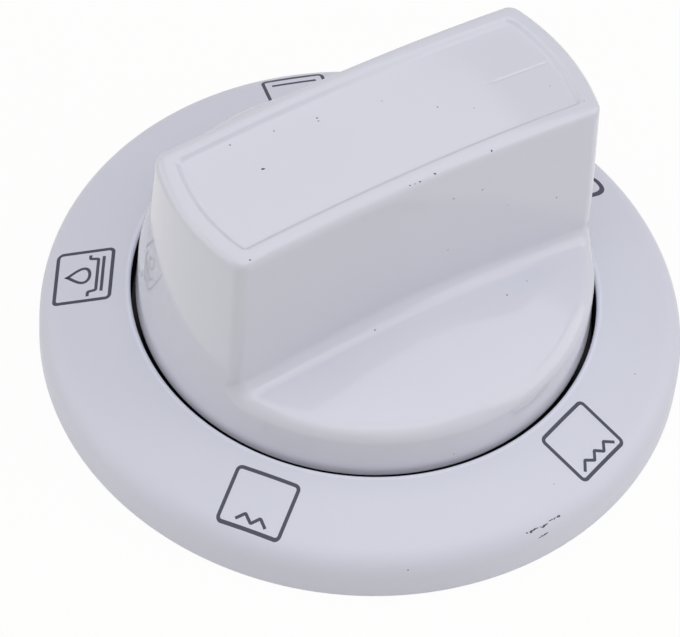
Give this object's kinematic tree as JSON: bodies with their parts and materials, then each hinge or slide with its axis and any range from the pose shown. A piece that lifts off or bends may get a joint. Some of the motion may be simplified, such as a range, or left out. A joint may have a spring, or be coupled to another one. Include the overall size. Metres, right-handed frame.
{
  "type": "oven control knob",
  "caption": "Round white oven control knob with a bar grip on a drum, turning inside a sloped dial ring with function marks; D-shaped shaft socket behind.",
  "frame": {"origin": "centre of the ring's back, on the panel", "axes": "+Z out of the panel along the turning axis, +Y towards the pointer end of the grip"},
  "size_m": [0.066, 0.066, 0.033],
  "materials": {
    "ring_plastic": "satin moulded white plastic",
    "cap_plastic": "polished moulded white plastic",
    "core_plastic": "black heat-resistant moulded plastic",
    "spring_steel": "bare spring steel strip"
  },
  "bodies": {
    "bezel": {"dial_ring": "ring_plastic"},
    "knob": {"knob_cap": "cap_plastic", "knob_core": "core_plastic", "shaft_spring": "spring_steel"}
  },
  "joints": [
    {"name": "knob_turn", "type": "hinge", "parent": "bezel", "child": "knob", "pos_m": [0, 0, 0], "axis": [0, 0, 1], "continuous": true}
  ]
}
